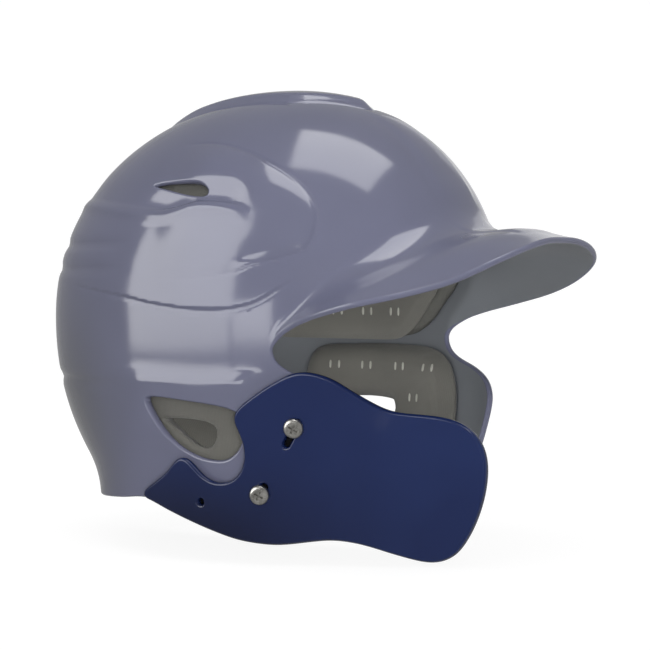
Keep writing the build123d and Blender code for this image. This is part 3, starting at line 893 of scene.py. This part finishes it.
def ramp(nt, src, stops):
    r = nt.nodes.new("ShaderNodeValToRGB")
    e = r.color_ramp.elements
    while len(e) < len(stops):
        e.new(0.5)
    for i, (p, c) in enumerate(stops):
        e[i].position = p
        e[i].color = (*c, 1) if len(c) == 3 else c
    nt.links.new(src, r.inputs["Fac"])
    return r


def bump(nt, b, src, strength, dist, prev=None):
    k = nt.nodes.new("ShaderNodeBump")
    k.inputs["Strength"].default_value = strength
    k.inputs["Distance"].default_value = dist
    nt.links.new(src, k.inputs["Height"])
    if prev is not None:
        nt.links.new(prev.outputs["Normal"], k.inputs["Normal"])
    nt.links.new(k.outputs["Normal"], b.inputs["Normal"])
    return k


def tex_coord(nt):
    return nt.nodes.new("ShaderNodeTexCoord").outputs["Object"]


def gloss_plastic(name, c0, c1, r0, r1, spec=0.5, painted_shade=None):
    m, nt, b = material(name, c0, r0, spec=spec)
    co = tex_coord(nt)
    n1 = noise(nt, 14.0, 2.0, 0.5, co)
    r = ramp(nt, n1.outputs["Fac"], [(0.35, c0), (0.65, c1)])
    if painted_shade is None:
        nt.links.new(r.outputs["Color"], b.inputs["Base Color"])
    else:
        # painted shade: colour drifts darker towards the back and the lower edge, where less light falls
        xyz = nt.nodes.new("ShaderNodeSeparateXYZ")
        nt.links.new(co, xyz.inputs["Vector"])
        f = []
        for out, a, z in (("X", *painted_shade[1]), ("Z", *painted_shade[2])):
            k = nt.nodes.new("ShaderNodeMapRange")
            k.interpolation_type = "SMOOTHSTEP"
            k.inputs["From Min"].default_value = a
            k.inputs["From Max"].default_value = z
            nt.links.new(xyz.outputs[out], k.inputs["Value"])
            f.append(k)
        mul = nt.nodes.new("ShaderNodeMath")
        mul.operation = "MULTIPLY"
        nt.links.new(f[0].outputs["Result"], mul.inputs[0])
        nt.links.new(f[1].outputs["Result"], mul.inputs[1])
        mix = nt.nodes.new("ShaderNodeMix")
        mix.data_type = "RGBA"
        nt.links.new(mul.outputs[0], mix.inputs[0])
        nt.links.new(r.outputs["Color"], mix.inputs[6])
        mix.inputs[7].default_value = (*painted_shade[0], 1)
        nt.links.new(mix.outputs[2], b.inputs["Base Color"])
    n2 = noise(nt, 60.0, 4.0, 0.6, co)
    mr = nt.nodes.new("ShaderNodeMapRange")
    mr.inputs["To Min"].default_value = r0
    mr.inputs["To Max"].default_value = r1
    nt.links.new(n2.outputs["Fac"], mr.inputs["Value"])
    nt.links.new(mr.outputs["Result"], b.inputs["Roughness"])
    # faint orange peel, and finer hairline scratches
    n3 = noise(nt, 420.0, 2.0, 0.5, co)
    k = bump(nt, b, n3.outputs["Fac"], 0.06, 0.0002)
    n4 = noise(nt, 90.0, 6.0, 0.75, co, vec_scale=(0.25, 1.0, 3.0))
    bump(nt, b, n4.outputs["Fac"], 0.03, 0.0002, k)
    return m


def srgb(r, g, b):
    f = lambda c: c / 12.92 if c <= 0.04045 else ((c + 0.055) / 1.055)**2.4
    return tuple(f(v / 255) for v in (r, g, b))


# painted shade: the shell's colour darkens and greys towards the back and the lower edge
SHELL_MAT = gloss_plastic("shell_gloss", srgb(109, 111, 133), srgb(114, 116, 139), 0.09, 0.15, painted_shade=(srgb(98, 99, 106), (-0.02, -0.085), (0.035, -0.055)))
INNER_MAT = gloss_plastic("shell_inner", srgb(115, 119, 124), srgb(121, 124, 129), 0.34, 0.48, spec=0.3)
# painted shade: the guard's colour darkens towards the bottom and the back
GUARD_MAT = gloss_plastic("guard_gloss", srgb(26, 40, 84), srgb(31, 46, 92), 0.10, 0.17, spec=0.32,
                          painted_shade=(srgb(12, 17, 42), (0.150, 0.0), (-0.045, -0.115)))


def foam(name, c0, c1, cell, rough=0.9, depth=0.5):
    m, nt, b = material(name, c0, rough, spec=0.25)
    co = tex_coord(nt)
    n = noise(nt, 30.0, 3.0, 0.6, co)
    r = ramp(nt, n.outputs["Fac"], [(0.3, c0), (0.7, c1)])
    nt.links.new(r.outputs["Color"], b.inputs["Base Color"])
    v = nt.nodes.new("ShaderNodeTexVoronoi")
    v.inputs["Scale"].default_value = cell
    nt.links.new(co, v.inputs["Vector"])
    k = bump(nt, b, v.outputs["Distance"], depth, 0.0006)
    n2 = noise(nt, cell * 2.2, 3.0, 0.6, co)
    bump(nt, b, n2.outputs["Fac"], depth * 0.5, 0.0004, k)
    return m


def knit(name, c0, c1, rows=520.0):
    m, nt, b = material(name, c0, 0.88, spec=0.2)
    b.inputs["Sheen Weight"].default_value = 0.25
    b.inputs["Sheen Roughness"].default_value = 0.5
    co = tex_coord(nt)
    w1 = nt.nodes.new("ShaderNodeTexWave")
    w1.bands_direction = "Z"
    w1.inputs["Scale"].default_value = rows
    w1.inputs["Distortion"].default_value = 1.6
    w1.inputs["Detail"].default_value = 1.0
    w1.inputs["Detail Scale"].default_value = 2.0
    nt.links.new(co, w1.inputs["Vector"])
    w2 = nt.nodes.new("ShaderNodeTexWave")
    w2.bands_direction = "X"
    w2.inputs["Scale"].default_value = rows * 0.8
    w2.inputs["Distortion"].default_value = 1.2
    nt.links.new(co, w2.inputs["Vector"])
    mx = nt.nodes.new("ShaderNodeMath")
    mx.operation = "MULTIPLY"
    nt.links.new(w1.outputs["Fac"], mx.inputs[0])
    nt.links.new(w2.outputs["Fac"], mx.inputs[1])
    n = noise(nt, 24.0, 3.0, 0.6, co)
    ad = nt.nodes.new("ShaderNodeMath")
    ad.operation = "MULTIPLY_ADD"
    ad.inputs[1].default_value = 0.35
    nt.links.new(mx.outputs[0], ad.inputs[0])
    nt.links.new(n.outputs["Fac"], ad.inputs[2])
    r = ramp(nt, ad.outputs[0], [(0.3, c0), (0.85, c1)])
    nt.links.new(r.outputs["Color"], b.inputs["Base Color"])
    k = bump(nt, b, mx.outputs[0], 0.5, 0.0004)
    n3 = noise(nt, 55.0, 2.0, 0.5, co)
    bump(nt, b, n3.outputs["Fac"], 0.25, 0.0012, k)
    return m


PAD_MAT = knit("pad_knit", srgb(106, 105, 100), srgb(118, 117, 111))
LINER_MAT = foam("liner_foam_mat", srgb(98, 98, 94), srgb(108, 108, 103), 900.0)
CHEEK_MAT = foam("cheek_foam_mat", srgb(148, 148, 150), srgb(162, 162, 164), 700.0)
# painted shadow: near-black matt colour for the shell where the guard's slots look onto it
SLOT_SHADOW_MAT = foam("slot_painted_shadow", srgb(17, 17, 19), srgb(25, 25, 27), 1500.0, 0.85, 0.3)
STITCH_MAT = foam("stitch_thread", srgb(170, 170, 160), srgb(186, 186, 178), 1500.0, 0.7, 0.3)


def steel(name):
    m, nt, b = material(name, (0.62, 0.61, 0.58), 0.25, metallic=1.0)
    co = tex_coord(nt)
    n = noise(nt, 260.0, 4.0, 0.7, co)
    r = ramp(nt, n.outputs["Fac"], [(0.3, (0.20, 0.195, 0.18)), (0.7, (0.52, 0.51, 0.48))])
    nt.links.new(r.outputs["Color"], b.inputs["Base Color"])
    mr = nt.nodes.new("ShaderNodeMapRange")
    mr.inputs["To Min"].default_value = 0.18
    mr.inputs["To Max"].default_value = 0.42
    n2 = noise(nt, 500.0, 3.0, 0.6, co)
    nt.links.new(n2.outputs["Fac"], mr.inputs["Value"])
    nt.links.new(mr.outputs["Result"], b.inputs["Roughness"])
    bump(nt, b, n2.outputs["Fac"], 0.15, 0.0001)
    return m


STEEL = steel("zinc_steel")


def dress(ob, *mats):
    ob.data.materials.clear()
    for m in mats:
        ob.data.materials.append(m)


# ---------------------------------------------------------------- pieces
shell, side = build_shell()
dress(shell, SHELL_MAT, INNER_MAT, SLOT_SHADOW_MAT)
# painted shadow: the guard's slots and its third hole look onto dark matt patches of painted shadow on the shell, which
# the guard hides all round
mid = np.empty(len(side) * 3)
shell.data.polygons.foreach_get("center", mid)
mid = mid.reshape(-1, 3) / MM
slot_shadow = np.zeros(len(side), bool)
for c, r in (((65.4, -49.0), 13.0), ((47.9, -81.3), 8.5), ((16.8, -86.4), 5.5)):
    slot_shadow |= (np.hypot(mid[:, 0] - c[0], mid[:, 2] - c[1]) < r) & (mid[:, 1] < 0)
side[slot_shadow & (side == 0) & (np.arange(len(side)) < np.argmax(side == 1))] = 2
shell.data.polygons.foreach_set("material_index", side)
shell.data.update()
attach(shell, "helmet")
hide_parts("outer_shell")

guard, side = build_guard()
dress(guard, GUARD_MAT)
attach(guard, "guard")
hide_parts("jaw_guard")

PTS3 = polar_points(3.0)


def polar_pad(name, node, loop, back, front, mat, slot, fill, radius, wall=0.3, body="helmet"):
    ob = cushion(name, [loop], surf_uv, back, front, 2.0, radius, pts=PTS3, wall=wall)
    dress(ob, mat)
    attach(ob, body)
    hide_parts(node)
    return ob


def circle_loop(a):
    t = np.linspace(0, 2 * np.pi, 120, endpoint=False)
    return to_uv(t, np.full(120, float(a)))


low_l = lambda t: 83 + 13 * smooth((t - 51) / 22)
low_lr = lambda t: 83 + 13 * smooth((-t - 51) / 22)
low_p = lambda t: 84 + 13 * smooth((t - 54) / 20)
low_pr = lambda t: 84 + 13 * smooth((-t - 54) / 20)
LN = dict(mat=LINER_MAT, slot="liner_foam", fill=0.95, radius=4.0, wall=0.6)
PD = dict(mat=PAD_MAT, slot="pad_fabric", fill=0.75, radius=9.0, wall=0.25)
polar_pad("liner_crown_foam", "liner_crown", circle_loop(28.5), G0, G1, **LN)
polar_pad("liner_front_foam", "liner_front", polar_loop(-47, 47, 34, 62), G0, G1, **LN)
polar_pad("liner_left_foam", "liner_left", polar_loop(51, 127, 34, 96, low_l), G0, G1, **LN)
polar_pad("liner_right_foam", "liner_right", polar_loop(-127, -51, 34, 96, low_lr), G0, G1, **LN)
polar_pad("liner_rear_foam", "liner_rear", polar_loop(131, 229, 34, 104), G0, G1, **LN)
polar_pad("crown_cushion", "crown_pad", circle_loop(23), P0_, P1_, **PD)
polar_pad("brow_cushion", "brow_pad", polar_loop(-44, 44, 44, 62), P0_, P1_, **PD)
polar_pad("side_cushion_left", "side_pad_left", polar_loop(54, 124, 50, 95, low_p), P0_, P1_, **PD)
polar_pad("side_cushion_right", "side_pad_right", polar_loop(-124, -54, 50, 95, low_pr), P0_, P1_, **PD)
polar_pad("rear_cushion", "rear_pad", polar_loop(134, 226, 56, 103), P0_, P1_, **PD)
polar_pad("nape_cushion", "nape_pad", polar_loop(142, 218, 107, 131), -5.2, -17.0, PAD_MAT, "pad_fabric", 0.75, 10.0, 0.25)

g = []
for k, z in enumerate(np.arange(-100, -18, 2.2)):
    x = np.arange(-44, 136, 2.5) + 1.25 * (k % 2)
    g.append(np.stack([x, np.full(x.shape, z)], -1))
PTS_XZ = np.vstack(g)
ear_out = relax(resample(spline(EAR_PAD, 8, closed=True), 1.8), 3)
ear_out_r = relax(resample(spline(EAR_PAD[:4] + [(57, -28), (62, -33.5), (60.5, -38.6), (55, -41.6), (52.6, -47.5), (54.2, -53.4), (59.5, -56.6), (63.5, -60)] + EAR_PAD[7:], 8, closed=True), 1.8), 2)
ear_hole = relax(resample(spline(EAR_IN, 8, closed=True), 1.5), 2)
for s, side in ((1, "left"), (-1, "right")):
    loops = [ear_out if s > 0 else ear_out_r, ear_hole]
    if s < 0:
        t = np.linspace(0, 2 * np.pi, 30, endpoint=False)
        loops.append(np.stack([43.2 + 7.2 * np.cos(t), -79.9 + 7.2 * np.sin(t)], -1))
    f = (lambda uv: ear_chart(uv, -1)) if s < 0 else (lambda uv: ear_chart(uv, 1) )
    if s < 0:
        ob = cushion("ear_cushion_" + side, loops, f, -4.2, -17.6, 1.8, 11.0, pts=PTS_XZ, wall=0.25)
    else:
        # the chart's normal points inwards on this side, so the offsets change sign
        ob = cushion("ear_cushion_" + side, loops, f, 4.2, 17.6, 1.8, 11.0, pts=PTS_XZ, wall=0.25)
    dress(ob, PAD_MAT)
    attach(ob, "helmet")
    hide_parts("ear_pad_" + side)

cheek = cushion("cheek_cushion", [relax(resample(spline(PAD, 8, closed=True), 1.2), 2)], lambda uv: on_guard(uv[:, 0], uv[:, 1], 0.0), 0.9, -6.6, 1.2, 4.5,
                pts=PTS_XZ, wall=0.45)
dress(cheek, CHEEK_MAT)
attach(cheek, "guard")
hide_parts("guard_cheek_pad")

tacks("tacks_side_pads", [bpy.data.objects[n] for n in ("side_cushion_left", "side_cushion_right", "rear_cushion", "nape_cushion", "brow_cushion")],
      False, "helmet")
tacks("tacks_ear_pads", [bpy.data.objects[n] for n in ("ear_cushion_left", "ear_cushion_right")], True, "helmet", clear=4.0)

for n in ("guard_screws", "guard_washers", "guard_nuts"):
    dress(NODES[n], STEEL)

# ---------------------------------------------------------------- floor, light and camera
m, nt, b = material("studio_floor", (0.2, 0.2, 0.2), 0.8, spec=0.0)
b.inputs["Emission Color"].default_value = (1, 1, 1, 1)
b.inputs["Emission Strength"].default_value = 0.9
nf = noise(nt, 3.0, 2.0, 0.5, tex_coord(nt))
rf = ramp(nt, nf.outputs["Fac"], [(0.3, (0.19, 0.19, 0.19)), (0.7, (0.21, 0.21, 0.21))])
nt.links.new(rf.outputs["Color"], b.inputs["Base Color"])
FLOOR_Z = -116.2
AZ, EL, DIST = math.radians(31.3), math.radians(1.9), 1000.0
BACK = np.array([math.sin(AZ) * math.cos(EL), -math.cos(AZ) * math.cos(EL), math.sin(EL)])
RIGHT = np.array([math.cos(AZ), math.sin(AZ), 0.0])
AIM = np.array([20.6, 11.9, -4.0])
fwd = -np.array([BACK[0], BACK[1], 0]) / math.hypot(BACK[0], BACK[1])
prof = [(-6000, 0), (1500, 0)] + [(1500 + 900 * math.sin(t), 900 - 900 * math.cos(t)) for t in np.linspace(0.05, math.pi / 2, 20)] + [(2400, 4500)]
P, F = [], []
for k, (d, h) in enumerate(prof):
    for w in (-6000, 6000):
        P.append(fwd * d + RIGHT * w + np.array([0, 0, FLOOR_Z + h]))
for k in range(len(prof) - 1):
    F.append([2 * k, 2 * k + 1, 2 * k + 3, 2 * k + 2])
floor = make("studio_sweep", np.array(P), F)
dress(floor, m)
floor.visible_diffuse = False
floor.visible_glossy = False
ring = np.linspace(0, 2 * np.pi, 64, endpoint=False)
P = [(5900 * math.cos(t), 5900 * math.sin(t), h) for h in (FLOOR_Z - 200, 9000) for t in ring] + [(0, 0, 9000)]
F = [[i, (i + 1) % 64, 64 + (i + 1) % 64, 64 + i] for i in range(64)] + [[64 + i, 64 + (i + 1) % 64, 128] for i in range(64)]
wall = make("studio_wall", P, F)
dress(wall, m)
wall.visible_diffuse = wall.visible_glossy = wall.visible_shadow = wall.visible_transmission = False

world = bpy.data.worlds.new("studio")
bpy.context.scene.world = world
world.use_nodes = True
world.node_tree.nodes["Background"].inputs["Color"].default_value = (1, 1, 1, 1)
world.node_tree.nodes["Background"].inputs["Strength"].default_value = 0.42
bpy.context.scene.view_settings.view_transform = "Standard"


def area(name, where, aim, w, h, power, roll=0.0, diffuse=True, gloss=True):
    L = bpy.data.lights.new(name, "AREA")
    L.shape = "RECTANGLE"
    L.size, L.size_y = w, h
    L.energy = power
    o = bpy.data.objects.new(name, L)
    bpy.context.scene.collection.objects.link(o)
    o.location = Vector(where)
    d = Vector(aim) - Vector(where)
    q = d.to_track_quat("-Z", "Y")
    o.rotation_euler = (q @ Quaternion((0, 0, 1), math.radians(roll))).to_euler()
    o.visible_diffuse = diffuse
    o.visible_glossy = gloss
    o.visible_camera = False
    return o


def toward(az, el, dist):
    """Point dist m from the helmet, az degrees to the right of the viewer's side and el up."""
    az, el = math.radians(az), math.radians(el)
    d = RIGHT * math.sin(az) * math.cos(el) + np.array([math.sin(AZ), -math.cos(AZ), 0]) * math.cos(az) * math.cos(el)
    return tuple((d + np.array([0, 0, math.sin(el)])) * dist + np.array([0.01, 0, 0.02]))


# softboxes seen in the gloss, then soft fills that only light
HERE = (0.01, 0, 0.02)
area("side_box", toward(-62, 17.0, 1.5), HERE, 1.15, 1.25, 22.0, diffuse=False)
area("top_box", toward(57, 76.6, 1.3), HERE, 0.78, 0.92, 10.5, roll=20, diffuse=False)
area("side_box_low", toward(-32, 0.8, 1.5), HERE, 0.47, 0.29, 2.2, diffuse=False)
area("rim_box", toward(158, 16, 1.4), HERE, 0.5, 0.6, 0.42, diffuse=False)
area("cavity_lamp", (0.0, -0.035, -0.045), (0.0, 0.09, -0.025), 0.14, 0.10, 0.055, gloss=False)
area("front_fill", toward(4, 6, 2.5), HERE, 1.4, 1.4, 16.0, gloss=False)
area("cavity_fill", toward(6, -5, 2.0), (0.06, 0.0, -0.02), 0.5, 0.4, 22.0, gloss=False)
area("top_fill", toward(0, 80, 2.0), HERE, 1.4, 1.4, 12.0, gloss=False)

cam = bpy.data.cameras.new("camera")
cam.sensor_width = 36
cam.lens = 36 * (1000 / 0.53) / 650
camo = bpy.data.objects.new("camera", cam)
bpy.context.scene.collection.objects.link(camo)
camo.location = Vector((AIM + DIST * BACK) * MM)
camo.rotation_euler = Vector(-BACK).to_track_quat("-Z", "Y").to_euler()
bpy.context.scene.camera = camo
